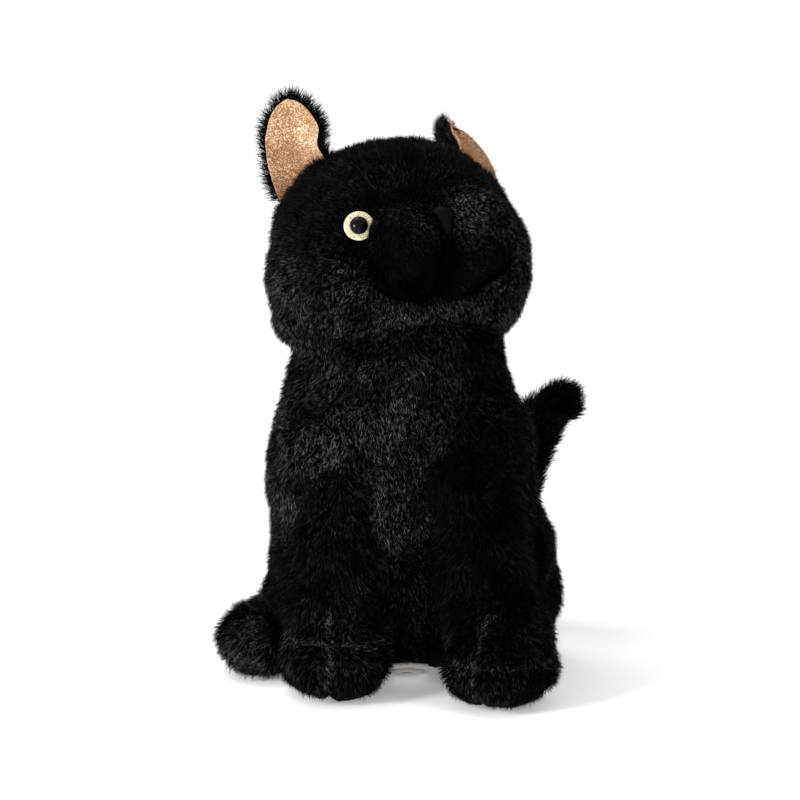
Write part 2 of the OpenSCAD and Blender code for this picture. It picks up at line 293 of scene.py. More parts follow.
# One fibre of pile: a narrow tapered ribbon that bends down towards its tip.
fibre_mesh = bpy.data.meshes.new("fibre")
fibre_mesh.from_pydata(
    [(-0.5, 0, 0), (0.5, 0, 0), (-0.4, -0.07, 0.5), (0.4, -0.07, 0.5), (0, -0.28, 0.97)], [],
    [(0, 1, 3, 2), (2, 3, 4)])
keep_numbers(fibre_mesh, "along", [0, 0, 0.5, 0.5, 1])
fibre = linked("fibre", fibre_mesh)


def pile_tree():
    """Geometry nodes that plant fibres over a skin, combed along its comb attribute."""
    tree = bpy.data.node_groups.new("pile", "GeometryNodeTree")
    tree.interface.new_socket("Skin", in_out="INPUT", socket_type="NodeSocketGeometry")
    for name, value in (("Density", 3e6), ("Length", 0.007), ("Width", 0.0004), ("Lean", 1.0),
                        ("Tuft Size", 0.01), ("Tuft Pull", 0.5), ("Clump Pull", 0.5), ("Stray", 0.3)):
        tree.interface.new_socket(name, in_out="INPUT", socket_type="NodeSocketFloat").default_value = value
    tree.interface.new_socket("Seed", in_out="INPUT", socket_type="NodeSocketInt").default_value = 1
    tree.interface.new_socket("Finish", in_out="INPUT", socket_type="NodeSocketMaterial")
    tree.interface.new_socket("Pile", in_out="OUTPUT", socket_type="NodeSocketGeometry")
    given = add(tree, "NodeGroupInput").outputs

    def math_node(operation, a, b=0.0):
        return add(tree, "ShaderNodeMath", {0: a, 1: b}, operation=operation).outputs[0]

    def vector_node(operation, a, b=(0, 0, 0)):
        return add(tree, "ShaderNodeVectorMath", {0: a, 1: b}, operation=operation).outputs[0]

    def scaled(vector, size):
        return add(tree, "ShaderNodeVectorMath", {0: vector, "Scale": size}, operation="SCALE").outputs[0]

    def kept(name, kind="FLOAT"):
        return add(tree, "GeometryNodeInputNamedAttribute", {"Name": name}, data_type=kind).outputs[0]

    def chance(low, high, shift):
        return add(tree, "FunctionNodeRandomValue", {
            2: low, 3: high, "Seed": math_node("ADD", given["Seed"], shift)}, data_type="FLOAT").outputs[1]

    density = math_node("MULTIPLY", given["Density"], kept("cover"))
    roots = add(tree, "GeometryNodeDistributePointsOnFaces", {
        "Mesh": given["Skin"], "Density": density, "Seed": given["Seed"]}, distribute_method="RANDOM")
    place = add(tree, "GeometryNodeInputPosition").outputs[0]
    tufts = add(tree, "ShaderNodeTexNoise", {
        "Vector": place, "Scale": math_node("DIVIDE", 1.0, given["Tuft Size"]), "Detail": 2.0})
    clumps = add(tree, "ShaderNodeTexNoise", {"Vector": place, "Scale": 1 / (3.2 * MM), "Detail": 1.0})
    sway = vector_node(
        "ADD", scaled(vector_node("SUBTRACT", tufts.outputs[1], (0.5, 0.5, 0.5)), given["Tuft Pull"]),
        scaled(vector_node("SUBTRACT", clumps.outputs[1], (0.5, 0.5, 0.5)), given["Clump Pull"]))
    astray = add(tree, "FunctionNodeRandomValue", {
        0: (-1, -1, -1), 1: (1, 1, 1), "Seed": given["Seed"]}, data_type="FLOAT_VECTOR").outputs[0]
    upright = scaled(roots.outputs["Normal"], math_node("COSINE", given["Lean"]))
    combed = scaled(kept("comb", "FLOAT_VECTOR"), math_node("SINE", given["Lean"]))
    heading = vector_node("ADD", vector_node("ADD", upright, combed),
                          vector_node("ADD", sway, scaled(astray, given["Stray"])))
    pointed = add(tree, "FunctionNodeAlignRotationToVector", {"Vector": heading}, axis="Z").outputs[0]
    facing = add(tree, "FunctionNodeAlignRotationToVector", {
        "Rotation": pointed, "Vector": roots.outputs["Normal"]}, axis="Y", pivot_axis="Z").outputs[0]
    twist = add(tree, "FunctionNodeAxisAngleToRotation", {
        "Axis": (0, 0, 1), "Angle": chance(-1.1, 1.1, 5)}).outputs[0]
    turned = add(tree, "FunctionNodeRotateRotation", {
        "Rotation": facing, "Rotate By": twist}, rotation_space="LOCAL").outputs[0]
    tall = math_node("MULTIPLY", math_node("MULTIPLY", given["Length"], kept("pile")), chance(0.6, 1.12, 11))
    size = add(tree, "ShaderNodeCombineXYZ", {
        0: math_node("MULTIPLY", given["Width"], chance(0.6, 1.4, 17)), 1: tall, 2: tall}).outputs[0]
    pattern = add(tree, "GeometryNodeObjectInfo", {"Object": fibre}).outputs["Geometry"]
    planted = add(tree, "GeometryNodeInstanceOnPoints", {
        "Points": roots.outputs["Points"], "Instance": pattern, "Rotation": turned, "Scale": size}).outputs[0]
    marked = add(tree, "GeometryNodeStoreNamedAttribute", {
        "Geometry": planted, "Name": "shade", "Value": chance(0.0, 1.0, 23)},
        data_type="FLOAT", domain="INSTANCE").outputs[0]
    real = add(tree, "GeometryNodeRealizeInstances", {"Geometry": marked}).outputs[0]
    dyed = add(tree, "GeometryNodeSetMaterial", {"Geometry": real, "Material": given["Finish"]}).outputs[0]
    add(tree, "NodeGroupOutput", {"Pile": dyed})
    return tree


pile_nodes = pile_tree()


def grow(name, skin, body, finish, where, **sizes):
    """Grows a panel's pile from its skin and hangs it on a body. where picks the panel's part."""
    base = linked(name, skin.data.copy())
    points = points_of(skin.data)
    cover = np.empty(len(points))
    skin.data.attributes["cover"].data.foreach_get("value", cover)
    keep_numbers(base.data, "cover", cover * where(points))
    grower = base.modifiers.new("pile", "NODES")
    grower.node_group = pile_nodes
    sizes["Finish"] = finish
    for socket in pile_nodes.interface.items_tree:
        if socket.in_out == "INPUT" and socket.name in sizes:
            grower[socket.identifier] = sizes[socket.name]
    settle(base)
    base.data.materials.pop(index=0)
    for spare in ("cover", "pile", "comb", "seams", "id"):
        if spare in base.data.attributes:
            base.data.attributes.remove(base.data.attributes[spare])
    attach(base, body)
    return base


def lay(piece, flow, pile=None, cover=None, gloss=None):
    """Keeps each point's comb, length of pile, whether pile grows there, and how much painted sheen its fibre
    tips get.
    """
    mesh = piece.data
    points, out_ward = points_of(mesh), normals_of(mesh)
    comb = flow(points)
    comb = comb - out_ward * (comb * out_ward).sum(1)[:, None]
    comb /= np.maximum(np.linalg.norm(comb, axis=1, keepdims=True), 1e-9)
    keep_numbers(mesh, "comb", comb, "FLOAT_VECTOR")
    keep_numbers(mesh, "pile", np.ones(len(points)) if pile is None else pile)
    keep_numbers(mesh, "cover", np.ones(len(points)) if cover is None else cover)
    keep_numbers(mesh, "gloss", np.ones(len(points)) if gloss is None else gloss)


def fade(values, start, end):
    """0 at start and 1 at end, eased in between."""
    share = np.clip((values - start) / (end - start), 0, 1)
    return share * share * (3 - 2 * share)


def seam_pile(points, seams, shortest):
    """The pile's length near the seams, where stitches catch the roots."""
    length = np.ones(len(points))
    for seam in seams:
        caught = np.exp(-(from_seam(points, seam) / (2.2 * MM)) ** 2)
        length = np.minimum(length, 1 - (1 - shortest) * caught)
    return length


# Long-pile faux fur: black acrylic fibres, knitted in and brushed.
# Each fibre is a little glossy, but the fine grey streaks on black are painted highlights:
# grey is painted on the tips of some fibres, with painted shade towards the roots and in the gaps
# between clumps, and painted sheen in patches and by region, from the gloss attribute.
fur, tree, out = new_material("black_faux_fur")
along = add(tree, "ShaderNodeAttribute", attribute_name="along").outputs["Fac"]
shade = add(tree, "ShaderNodeAttribute", attribute_name="shade").outputs["Fac"]
gloss = add(tree, "ShaderNodeAttribute", attribute_name="gloss").outputs["Fac"]
place = add(tree, "ShaderNodeTexCoord").outputs["Object"]
# Painted sheen: the tips are painted lighter and darker in patches about 15 mm across, like the sheen of pile
# lying in different directions.
sheen_patch_noise = add(tree, "ShaderNodeTexNoise", {"Vector": place, "Scale": 1 / (15 * MM), "Detail": 1.0}).outputs[0]
sheen_patch = add(tree, "ShaderNodeMapRange", {
    "Value": sheen_patch_noise, "From Min": 0.38, "From Max": 0.62, "To Min": 0.4, "To Max": 1.4}).outputs[0]
# Painted shade in the gaps between small clumps, and painted highlight on the clumps.
clumps = add(tree, "ShaderNodeTexNoise", {"Vector": place, "Scale": 1 / (1.9 * MM), "Detail": 1.0}).outputs[0]
clump_gap_shade = add(tree, "ShaderNodeMapRange", {
    "Value": clumps, "From Min": 0.4, "From Max": 0.6, "To Min": 0.1, "To Max": 1.6}).outputs[0]
# Painted highlight: fibres picked at random get grey tips as painted glints. The ramp below is painted shade
# towards each root and painted highlight towards each tip.
glint_fibre = add(tree, "ShaderNodeMapRange", {"Value": shade, "From Min": 0.45}).outputs[0]
bent = add(tree, "ShaderNodeMapRange", {"Value": along, "From Min": 0.35, "From Max": 0.9}).outputs[0]
lit_tip = add(tree, "ShaderNodeMath", {0: bent, 1: glint_fibre}, operation="MULTIPLY").outputs[0]
patchy = add(tree, "ShaderNodeMath", {0: sheen_patch, 1: clump_gap_shade}, operation="MULTIPLY").outputs[0]
# All painted light on the tips, scaled by region by the painted sheen attribute.
painted_light_level = add(tree, "ShaderNodeMath", {0: patchy, 1: gloss}, operation="MULTIPLY").outputs[0]
tip_amount = add(tree, "ShaderNodeMath", {0: lit_tip, 1: painted_light_level}, operation="MULTIPLY", use_clamp=True).outputs[0]
# Black fibre colour, mixed towards a painted grey glint colour at the tips.
black_and_painted_glints = add(tree, "ShaderNodeMix", {"Factor": tip_amount, "A": linear("#010001"), "B": linear("#6C666A")},
          data_type="RGBA")
dulled = add(tree, "ShaderNodeMapRange", {"Value": shade, "To Min": 0.7, "To Max": 0.4}).outputs[0]
shader = add(tree, "ShaderNodeBsdfPrincipled", {
    "Base Color": black_and_painted_glints.outputs["Result"], "Roughness": dulled, "Specular IOR Level": 0.03})
tree.links.new(shader.outputs[0], out.inputs["Surface"])

# Fur backing: the knitted ground between the roots, which only shows as depth.
backing, tree, out = new_material("knitted_fur_backing")
stitches = add(tree, "ShaderNodeTexVoronoi", {
    "Vector": add(tree, "ShaderNodeTexCoord").outputs["Object"], "Scale": 1 / (1.2 * MM)})
yarn = add(tree, "ShaderNodeMix", {
    "Factor": stitches.outputs["Distance"], "A": linear("#050405"), "B": linear("#020202")}, data_type="RGBA")
raised = add(tree, "ShaderNodeBump", {
    "Height": stitches.outputs["Distance"], "Distance": 0.3 * MM, "Strength": 0.6})
shader = add(tree, "ShaderNodeBsdfPrincipled", {
    "Base Color": yarn.outputs["Result"], "Roughness": 0.95, "Specular IOR Level": 0.1,
    "Normal": raised.outputs[0]})
tree.links.new(shader.outputs[0], out.inputs["Surface"])

body_low, body_high = node_box("back_right", "back_left", "base_panel")
body_seams = [
    ((14, 0, 118), (1, 0, 0), (0, -1, 0)),
    ((0, 4, 0), (1, 0, 0), (0, 1, 0)),
    ((0, -2, 118), (0, 1, 0), (0, 0, 1)),
]
body = stuff("body_plush", [
    lump((2, 5, 46), (60, 51, 48)),
    lump((1, 3, 88), (58, 50, 58)),
    lump((-0.5, -1, 130), (50, 46, 36)),
    lump((-0.5, -3, 152), (46, 43, 26)),
    lump((4, -26, 152), (35, 23, 25)),
    lump((-38, 4, 38), (21, 36, 36)),
    lump((45, 2, 42), (25, 38, 42)),
    lump((-28, -22, 104), (28, 28, 40), (8, 0, 0)),
    lump((30, -24, 104), (28, 28, 40), (8, 0, 0)),
    lump((0, 8, 12), (42, 38, 13)),
], soften=10)
swell(body, body_seams, 2.5, 1.4)
body.data.materials.append(backing)
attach(body, "torso")
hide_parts("chest_right", "chest_left", "belly_panel", "back_right", "back_left", "base_panel",
            "body_stuffing")

skin_points = points_of(body.data)
head_low, head_high = node_box("head_stuffing")
under_head = inside(skin_points, head_low, head_high, 5)
under_legs = np.zeros(len(skin_points), bool)
for side in ("right", "left"):
    under_legs |= inside(skin_points, *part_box("leg_stuffing_" + side), 4)
# The pile is trimmed away around the label, so that its leaves show.
bare = ((skin_points[:, 2] < 16 * MM) & (skin_points[:, 1] < 0)
        & (np.abs(skin_points[:, 0] - 5 * MM) < 17 * MM))
# The painted sheen here is a painted highlight on the -x side (the cat's right, towards the key light) above
# about 85 mm, weaker towards the neck, with a dim painted sheen elsewhere.
lay(body, lambda p: np.array([[0.0, 0.0, -1.0]]) + p * [0.0, 6.0, 0.0],
    pile=seam_pile(skin_points, body_seams, 0.55) * np.clip(skin_points[:, 2] / (8 * MM), 0.14, 1),
    cover=np.where(under_head | under_legs | bare, 0.0, 1.0),
    gloss=0.2 + 0.8 * fade(skin_points[:, 0] / MM, 38, -6) * fade(skin_points[:, 2] / MM, 55, 85)
    * (1 - 0.45 * fade(skin_points[:, 2] / MM, 122, 146)))

LONG_PILE = {"Density": 3.75e6, "Length": 6.4 * MM, "Width": 0.33 * MM, "Lean": math.radians(42),
             "Tuft Size": 16 * MM, "Tuft Pull": 1.9, "Clump Pull": 1.3, "Stray": 0.3}
front_of = -2 * MM
fur_pieces = [
    ("chest_fur", lambda p: (p[:, 1] < front_of) & (p[:, 2] > 0.09)),
    ("belly_fur", lambda p: (p[:, 1] < front_of) & (p[:, 2] <= 0.09)),
    ("back_fur_right", lambda p: (p[:, 1] >= front_of) & (p[:, 0] < 0)),
    ("back_fur_left", lambda p: (p[:, 1] >= front_of) & (p[:, 0] >= 0)),
]
for number, (name, where) in enumerate(fur_pieces):
    thinner = 0.8 if name.startswith("back") else 1.0
    piece = grow(name, body, "torso", fur, where, Seed=number + 1,
                 **dict(LONG_PILE, Density=thinner * LONG_PILE["Density"]))

# ---- Head ----
# The head is a stuffed ball of four fur panels with full cheeks, sewn to the body at the neck.
# Its pile is brushed back from the face, and seams run down beside each eye and under the chin.
FACE_TILT = math.radians(20)
nod = Vector(joint["head_nod"]["axis"])
head_turn = math.atan2(nod.y, nod.x)
head_space = (Matrix.Translation(head_at) @ Matrix.Rotation(head_turn, 4, "Z")
              @ Matrix.Rotation(-FACE_TILT, 4, "X"))
to_head = np.array(head_space.inverted())


def in_head(points):
    """World points in the head's own frame, in millimetres."""
    return (points @ to_head[:3, :3].T + to_head[:3, 3]) / MM


def head_plane(place, across, keep):
    """A seam given in the head's own frame."""
    turned = head_space.to_3x3()
    return (head_space @ (Vector(place) * MM)) / MM, turned @ Vector(across), turned @ Vector(keep)


head_seams = [
    head_plane((-33, 0, 0), (1, 0, 0), (0, 0, -1)),
    head_plane((33, 0, 0), (1, 0, 0), (0, 0, -1)),
    head_plane((0, 0, -14), (1, 0, 0), (0, 0, -1)),
]
head = stuff("head_plush", [
    lump((0, 2, 5), (54, 45, 42)),
    lump((0, 4, 14), (45, 41, 33)),
    lump((-30, -4, -10), (29, 38, 33), (0, 12, 0)),
    lump((29, -4, -10), (28, 38, 33), (0, -12, 0)),
    lump((-33, 8, -24), (24, 28, 22)),
    lump((34, 8, -24), (24, 28, 22)),
    lump((0, 6, -22), (36, 34, 26)),
    lump((0, -26, -14), (30, 22, 26)),
], space=head_space, soften=10)
swell(head, head_seams, 2.5, 1.5)
head.data.materials.append(backing)
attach(head, "head")
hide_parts("head_crown", "head_cheek_right", "head_cheek_left", "head_chin_right", "head_chin_left",
            "head_stuffing", "neck_plug")

head_points = points_of(head.data)
local = in_head(head_points)


EYE_SHIFT = {"right": (-2.2, 0.0, -3.8), "left": (-3.2, 0.0, -3.8)}


def disc_frame(side):
    """The middle and outward direction of a glitter disc, pushed down a little by the full muzzle."""
    points = points_of(frame["nodes"]["glitter_disc_" + side].data)
    spread = points - points.mean(0)
    normal = np.linalg.eigh(spread.T @ spread)[1][:, 0]
    if normal @ (points.mean(0) - np.array(head_at)) < 0:
        normal = -normal
    shift = head_space.to_3x3() @ Vector(EYE_SHIFT[side]) * MM
    return Vector((points.max(0) + points.min(0)) / 2) + shift, Vector(normal)


eye_pile = np.ones(len(head_points))
eye_cover = np.ones(len(head_points))
for side in ("right", "left"):
    eye_place = disc_frame(side)[0]
    gap = np.linalg.norm(head_points - np.array(eye_place), axis=1)
    eye_pile = np.minimum(eye_pile, np.clip((gap - 4 * MM) / (12 * MM), 0.35, 1))
    eye_cover = np.where(gap < 6 * MM, 0, eye_cover)
muzzle_low, muzzle_high = node_box("muzzle_lobe_right", "muzzle_lobe_left")
under_muzzle = inside(head_points, muzzle_low, muzzle_high, 5)
face_centre = np.array([0.0, -62.0, -6.0])
from_muzzle = np.linalg.norm((local - [0.5, -54, -8]) / [34, 24, 24], axis=1)


def brushed_back(points):
    """Away from the muzzle, then down over the cheeks."""
    own = in_head(points)
    away = own - face_centre
    away /= np.maximum(np.linalg.norm(away, axis=1, keepdims=True), 1e-9)
    down = np.clip((20 - own[:, 2]) / 50, 0, 1)[:, None]
    mixed = away * (1 - 0.6 * down) + np.array([0, 0.1, -1]) * 0.8 * down
    return mixed @ np.array(head_space.to_3x3()).T


# The painted sheen here is painted shade over the top of the head and in a ring around the muzzle, and painted
# highlight lower on the cheeks.
lay(head, brushed_back,
    pile=np.minimum(seam_pile(head_points, head_seams, 0.5), eye_pile)
    * (0.72 + 0.28 * np.clip((local[:, 1] + 10) / 40, 0, 1)),
    cover=np.where(under_muzzle, 0, eye_cover),
    gloss=(0.13 + 0.68 * fade(local[:, 2], 8, -16)) * (0.25 + 0.75 * fade(from_muzzle, 0.9, 1.5)))
HEAD_PILE = dict(LONG_PILE, Length=6.6 * MM)
head_parts = [
    ("forehead_fur", lambda p: (in_head(p)[:, 2] > 0) & (in_head(p)[:, 1] < 2)),
    ("nape_fur", lambda p: (in_head(p)[:, 2] > 0) & (in_head(p)[:, 1] >= 2)),
    ("cheek_fur_right", lambda p: (in_head(p)[:, 2] <= 0) & (in_head(p)[:, 0] < 0)),
    ("cheek_fur_left", lambda p: (in_head(p)[:, 2] <= 0) & (in_head(p)[:, 0] >= 0)),
]
for number, (name, where) in enumerate(head_parts):
    piece = grow(name, head, "head", fur, where, Seed=number + 11, **HEAD_PILE)

# ---- Muzzle ----
# Two round cushions of velboa, a short dense knitted pile, joined by a seam down the middle.
# The pile is so short that the muzzle looks smooth; the light on it is mostly a painted sheen on the nap's tips,
# brighter on the left cushion (+x) and towards the top.
muzzle_seams = [head_plane((-2, 0, 0), (1, 0, 0), (0, -1, 0))]
muzzle = stuff("muzzle_plush", [
    lump((-14, -57, -9), (17.5, 20, 21)),
    lump((13.5, -57.5, -7), (20, 20.5, 22.5)),
    lump((-9, -47, -12), (20, 18, 20)),
    lump((9, -47, -12), (20, 18, 20)),
], space=head_space, grain=2.4, soften=4)
swell(muzzle, muzzle_seams, 1.5, 3.0)
velboa, tree, out = new_material("black_velboa")
nap = add(tree, "ShaderNodeTexNoise", {
    "Vector": add(tree, "ShaderNodeTexCoord").outputs["Object"], "Scale": 1 / (0.9 * MM), "Detail": 3.0})
cloth_dye = add(tree, "ShaderNodeMix", {
    "Factor": nap.outputs[0], "A": linear("#020202"), "B": linear("#060607")}, data_type="RGBA")
raised = add(tree, "ShaderNodeBump", {"Height": nap.outputs[0], "Distance": 0.25 * MM, "Strength": 0.7})
shader = add(tree, "ShaderNodeBsdfPrincipled", {
    "Base Color": cloth_dye.outputs["Result"], "Roughness": 0.8, "Specular IOR Level": 0.06,
    "Sheen Weight": 0.03, "Sheen Roughness": 0.4, "Sheen Tint": linear("#9A9AA2"),
    "Normal": raised.outputs[0]})
tree.links.new(shader.outputs[0], out.inputs["Surface"])
muzzle.data.materials.append(velboa)
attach(muzzle, "head")
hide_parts("muzzle_lobe_right", "muzzle_lobe_left", "muzzle_stuffing")
muzzle_points = points_of(muzzle.data)
muzzle_own = in_head(muzzle_points)
# The painted sheen here is brighter on the left cushion (+x) and towards the top, with painted shade low on the
# right cushion.
lay(muzzle, lambda p: (p - np.array(head_at)) * [1, 1, 0.2] + np.array([[0, 0, -0.03]]),
    pile=seam_pile(muzzle_points, muzzle_seams, 0.5),
    gloss=(0.35 + 0.9 * fade(muzzle_own[:, 0], -2, 8)) * (0.1 + 1.1 * fade(muzzle_own[:, 2], -18, 8)))
piece = grow("muzzle_nap", muzzle, "head", fur, lambda p: in_head(p)[:, 1] < -38, Seed=31,
             Density=6.8e6, Length=2.6 * MM, Width=0.29 * MM, Lean=math.radians(45),
             **{"Tuft Size": 6 * MM, "Tuft Pull": 1.0, "Clump Pull": 0.8, "Stray": 0.3})

# ---- Nose ----
# A small firm pad of black satin, sewn into the dip at the top of the two cushions.
nose = stuff("nose_pad", [
    lump((-2.5, -70.5, 1), (5.4, 4.4, 4.2)),
    lump((-2.5, -72, -3), (3.4, 3.8, 4.8)),
], space=head_space, grain=0.8, soften=5)
finer = nose.modifiers.new("finer", "SUBSURF")
finer.levels = finer.render_levels = 1
settle(nose)
nose.data.shade_smooth()
satin, tree, out = new_material("black_satin")
place = add(tree, "ShaderNodeTexCoord").outputs["Object"]
threads = add(tree, "ShaderNodeTexWave", {"Vector": place, "Scale": 1 / (1.6 * MM), "Distortion": 1.5},
              bands_direction="X")
satin_dye = add(tree, "ShaderNodeMix", {
    "Factor": threads.outputs["Color"], "A": linear("#010102"), "B": linear("#030406")}, data_type="RGBA")
raised = add(tree, "ShaderNodeBump", {"Height": threads.outputs["Fac"], "Distance": 0.06 * MM, "Strength": 0.5})
shader = add(tree, "ShaderNodeBsdfPrincipled", {
    "Base Color": satin_dye.outputs["Result"], "Roughness": 0.65, "Specular IOR Level": 0.05,
    "Normal": raised.outputs[0]})
tree.links.new(shader.outputs[0], out.inputs["Surface"])
nose.data.materials.append(satin)
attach(nose, "head")
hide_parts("nose")

# ---- Eyes ----
# Safety eyes: a gold glitter disc under a clear coat, with a high black dome through its middle.
# Their shanks go through the fur and are locked by a plastic washer inside the head.
LATHE_STEPS = 64


def lathe(name, profile, middle, way):
    """Turns a profile of (radius, height) pairs in millimetres about a direction."""
    rows = []
    for radius, height in profile:
        rows.append([(radius * MM * math.cos(2 * math.pi * k / LATHE_STEPS),
                      radius * MM * math.sin(2 * math.pi * k / LATHE_STEPS), height * MM)
                     for k in range(LATHE_STEPS)])
    points = [p for row in rows for p in row]
    faces = []
    for r in range(len(rows) - 1):
        for k in range(LATHE_STEPS):
            n = (k + 1) % LATHE_STEPS
            faces.append((r * LATHE_STEPS + k, r * LATHE_STEPS + n,
                          (r + 1) * LATHE_STEPS + n, (r + 1) * LATHE_STEPS + k))
    mesh = bpy.data.meshes.new(name)
    mesh.from_pydata(points, [], faces)
    turned = bmesh.new()
    turned.from_mesh(mesh)
    bmesh.ops.remove_doubles(turned, verts=turned.verts, dist=1e-6)
    bmesh.ops.recalc_face_normals(turned, faces=turned.faces)
    turned.to_mesh(mesh)
    turned.free()
    mesh.transform(Matrix.Translation(middle) @ way.to_track_quat("Z", "Y").to_matrix().to_4x4())
    mesh.shade_smooth()
    return linked(name, mesh)


pupil_plastic, tree, out = new_material("polished_black_acrylic")
smudge = add(tree, "ShaderNodeTexNoise", {
    "Vector": add(tree, "ShaderNodeTexCoord").outputs["Object"], "Scale": 1 / (2.5 * MM), "Detail": 2.0})
polish = add(tree, "ShaderNodeMapRange", {"Value": smudge.outputs[0], "To Min": 0.14, "To Max": 0.24}).outputs[0]
tint = add(tree, "ShaderNodeMix", {
    "Factor": smudge.outputs[0], "A": linear("#050303"), "B": linear("#0B0706")}, data_type="RGBA")
shader = add(tree, "ShaderNodeBsdfPrincipled", {
    "Base Color": tint.outputs["Result"], "Roughness": polish, "IOR": 1.49, "Specular IOR Level": 0.12})
tree.links.new(shader.outputs[0], out.inputs["Surface"])

# Glitter under clear resin: each flake is a flat mirror at its own tilt, over a pale gold ground,
# and each flake is also painted its own colour from dark gold to near white, partly as a painted glint.
glitter_disc, tree, out = new_material("gold_glitter_resin")
place = add(tree, "ShaderNodeTexCoord").outputs["Object"]
flakes = add(tree, "ShaderNodeTexVoronoi", {"Vector": place, "Scale": 1 / (0.42 * MM)})
flake_value = add(tree, "ShaderNodeSeparateColor", {0: flakes.outputs["Color"]}).outputs[0]
# Painted glints: the brightest flakes are painted near white.
tones = add(tree, "ShaderNodeValToRGB", {0: flake_value})
tones.color_ramp.elements[0].color = linear("#A08F62")
tones.color_ramp.elements[1].color = linear("#FBF4DC")
tones.color_ramp.elements.new(0.5).color = linear("#DDD0A4")
raised = add(tree, "ShaderNodeBump", {"Height": flake_value, "Distance": 0.08 * MM, "Strength": 0.8})
shader = add(tree, "ShaderNodeBsdfPrincipled", {
    "Base Color": tones.outputs[0], "Metallic": 0.35, "Roughness": 0.35, "Normal": raised.outputs[0],
    "Coat Weight": 0.5, "Coat Roughness": 0.08})
tree.links.new(shader.outputs[0], out.inputs["Surface"])

disc_profile = [(1.95, -0.5), (6.2, -0.5), (6.6, -0.3), (6.8, 0), (6.6, 0.28), (6.2, 0.45),
                (5.3, 0.55), (4.2, 0.6), (1.95, 0.6), (1.95, -0.5)]
PUPIL_R, PUPIL_H = 4.1, 3.0
pupil_profile = [(0.001, -7.6), (1.5, -7.6), (1.85, -7.0), (1.85, 0.3), (PUPIL_R - 0.25, 0.32),
                 (PUPIL_R, 0.55)]
pupil_profile += [(max(PUPIL_R * math.cos(math.radians(a)), 0.001), 0.75 + PUPIL_H * math.sin(math.radians(a)))
                  for a in range(0, 91, 6)]
for side in ("right", "left"):
    middle, way = disc_frame(side)
    disc = lathe("glitter_ring_" + side, disc_profile, middle, way)
    disc.data.materials.append(glitter_disc)
    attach(disc, "head")
    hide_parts("glitter_disc_" + side)
    pupil = lathe("pupil_" + side, pupil_profile, middle, way)
    pupil.data.materials.append(pupil_plastic)
    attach(pupil, "head")
    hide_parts("eye_" + side)

# Lock washers: white moulded polypropylene with a faint grain.
washer_plastic, tree, out = new_material("moulded_polypropylene")
grain_noise = add(tree, "ShaderNodeTexNoise", {
    "Vector": add(tree, "ShaderNodeTexCoord").outputs["Object"], "Scale": 1 / (0.6 * MM)})
milky = add(tree, "ShaderNodeMix", {
    "Factor": grain_noise.outputs[0], "A": linear("#E2E2DE"), "B": linear("#F1F1ED")}, data_type="RGBA")
shader = add(tree, "ShaderNodeBsdfPrincipled", {
    "Base Color": milky.outputs["Result"], "Roughness": 0.45,
    "Normal": add(tree, "ShaderNodeBump", {"Height": grain_noise.outputs[0], "Distance": 0.02 * MM}).outputs[0]})
tree.links.new(shader.outputs[0], out.inputs["Surface"])
washer_profile = [(1.9, -6.4), (4.2, -6.4), (4.8, -6.1), (4.8, -5.7), (4.2, -5.4), (1.9, -5.2), (1.9, -6.4)]
for side in ("right", "left"):
    washer = lathe("lock_washer_" + side, washer_profile, *disc_frame(side))
    washer.data.materials.append(washer_plastic)
    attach(washer, "head")
    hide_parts("eye_washer_" + side)

# ---- Ears ----
# Each ear is a leaf of fur fabric with a glitter fabric lining, turned and gathered at its foot.
# The lining is cupped and stands a little forward, and the fur behind makes a fringe around it.
EAR_TURN = {"right": (-29, -6, 5), "left": (30, 21, -30)}
EAR_SHIFT = {"right": (0, 0, 0), "left": (4.5, 0, -5)}
EAR_HEIGHTS = [-13, 0, 10, 20, 27, 31, 34, 36]
EAR_HALF_WIDTHS = [12.5, 14.2, 14.8, 13.8, 11.0, 8.6, 5.6, 1.2]
EAR_CUP = {"right": 5.0, "left": 9.0}
EAR_FOLD = {"right": 3.2, "left": 1.0}
SIGN = {"right": -1, "left": 1}
EAR_ROWS, EAR_COLUMNS = 44, 28


def ear_frame(side):
    """The ear's own frame: its leaf stands along Z, and its lining faces -Y."""
    out_turn, splay, lean = [math.radians(a) for a in EAR_TURN[side]]
    turn = (Matrix.Rotation(out_turn, 4, "Z") @ Matrix.Rotation(splay, 4, "Y")
            @ Matrix.Rotation(lean, 4, "X"))
    foot = Vector(joint["ear_fold_" + side]["pos_m"]) + Vector(EAR_SHIFT[side]) * MM
    return Matrix.Translation(foot) @ head_space.to_3x3().to_4x4() @ turn


